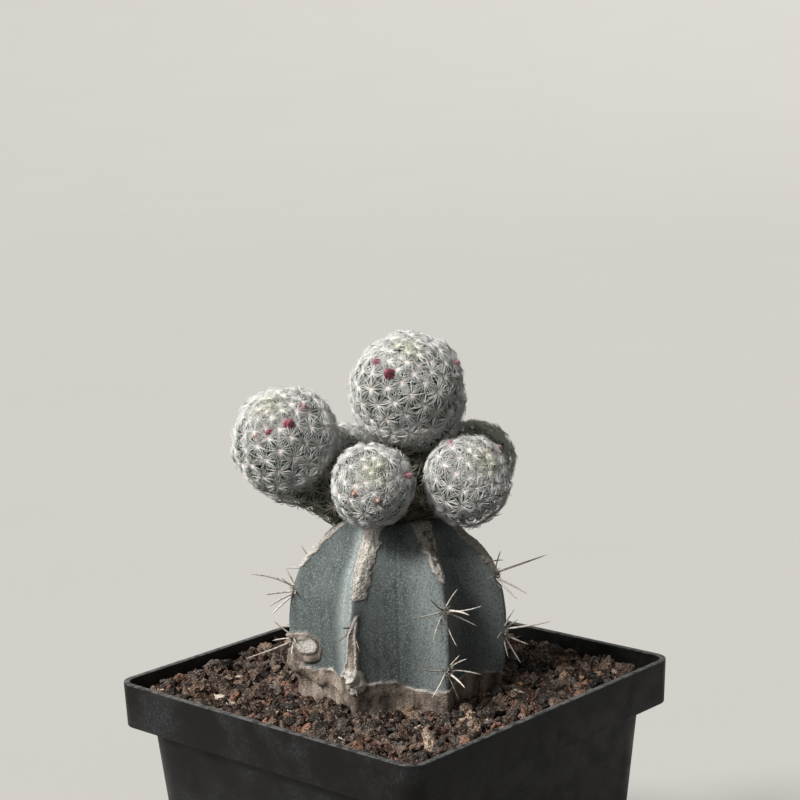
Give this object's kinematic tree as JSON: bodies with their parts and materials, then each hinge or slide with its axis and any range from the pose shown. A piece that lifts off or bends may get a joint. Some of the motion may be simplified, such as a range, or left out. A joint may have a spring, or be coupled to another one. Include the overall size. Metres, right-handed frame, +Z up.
{
  "type": "potted grafted mammillaria cactus",
  "caption": "Clump of white-spined globular cactus heads grafted on a ribbed blue-green stock, standing in granular soil in a square black plastic pot.",
  "frame": {"origin": "middle of the pot's underside, on the surface that the pot stands on", "axes": "+Z up; X and Y along the pot's sides, so that the pot corner nearest the picture's camera points to -X -Y"},
  "size_m": [0.08, 0.08, 0.1414],
  "materials": {
    "pot_plastic": "satin",
    "soil": "matte",
    "stock_skin": "matte",
    "cork": "matte",
    "spined_head": "matte"
  },
  "bodies": {
    "root": {"pot": "pot_plastic", "soil": "soil", "stock": "stock_skin", "graft_union": "cork", "head_top": "spined_head", "head_left": "spined_head", "head_front": "spined_head", "head_right": "spined_head", "head_back_right": "spined_head", "head_back_left": "spined_head"}
  },
  "joints": []
}
